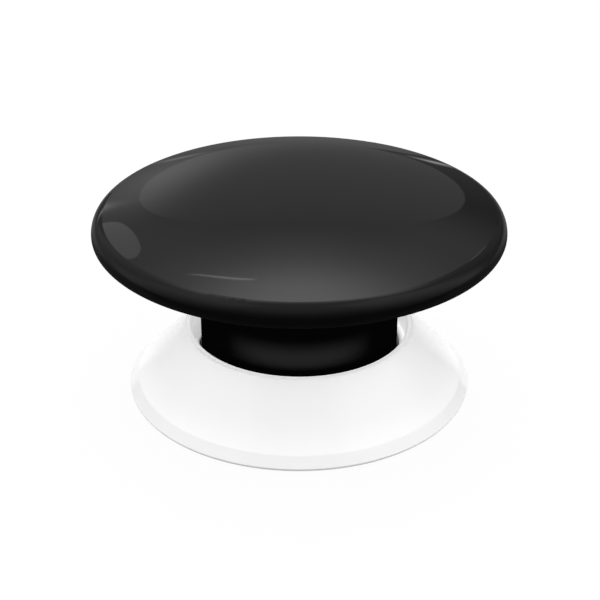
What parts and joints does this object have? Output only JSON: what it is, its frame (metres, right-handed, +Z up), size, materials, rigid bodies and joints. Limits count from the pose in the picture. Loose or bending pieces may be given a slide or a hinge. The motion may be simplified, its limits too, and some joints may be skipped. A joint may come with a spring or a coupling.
{
  "type": "smart button",
  "caption": "Round wireless push button: a lens-shaped black cap that presses down on a short neck, twist-locked into a flared white base.",
  "frame": {"origin": "centre of the mounting pad's underside, on the surface that the button stands on", "axes": "+Z up through the neck to the crown of the cap, -Y towards the picture's camera, +X to its right"},
  "size_m": [0.046, 0.046, 0.0248],
  "materials": {
    "black_gloss": "gloss",
    "white_gloss": "gloss",
    "white_matte": "matte",
    "black_matte": "matte",
    "foam": "foam",
    "silicone": "silicone",
    "plunger": "moulded",
    "screw_steel": "zinc plated",
    "spring_steel": "drawn wire",
    "cell_steel": "nickel plated",
    "contact_metal": "gold flashed",
    "board": "solder mask",
    "ceramic": "ceramic"
  },
  "bodies": {
    "base": {"base_flare": "white_gloss", "base_plate": "white_matte", "base_screws": "screw_steel", "mounting_pad": "foam", "battery_cushion": "foam"},
    "head": {"neck_housing": "black_gloss", "cell_cradle": "black_matte", "battery_can": "cell_steel", "battery_gasket": "black_matte", "battery_cap": "cell_steel", "positive_contact": "contact_metal", "negative_contact": "contact_metal", "main_board": "board", "board_screws": "screw_steel", "switch_body": "black_matte", "switch_cover": "cell_steel", "switch_legs": "contact_metal", "snap_dome": "contact_metal", "radio_shield": "cell_steel", "control_chip": "black_matte", "crystal": "cell_steel", "board_parts": "ceramic", "antenna_wire": "contact_metal", "capacitor_base": "black_matte", "buffer_capacitor": "cell_steel", "return_spring": "spring_steel"},
    "cap": {"cap_dome": "black_gloss", "cap_dish": "black_gloss", "actuator_pad": "silicone"},
    "plunger": {"switch_plunger": "plunger"}
  },
  "joints": [
    {"name": "base_twist", "type": "hinge", "parent": "base", "child": "head", "pos_m": [0, 0, 0], "axis": [0, 0, 1], "range_deg": [0, 45]},
    {"name": "cap_press", "type": "slide", "parent": "head", "child": "cap", "axis": [0, 0, -1], "range_m": [0, 0.0004], "stiffness_N_per_m": 1000, "springref_m": -0.002, "deforming": ["return_spring"]},
    {"name": "plunger_press", "type": "slide", "parent": "head", "child": "plunger", "axis": [0, 0, -1], "range_m": [0, 0.0004], "deforming": ["snap_dome"]}
  ],
  "couplings": [
    {"joint": "plunger_press", "follows": "cap_press", "ratio": 1}
  ]
}
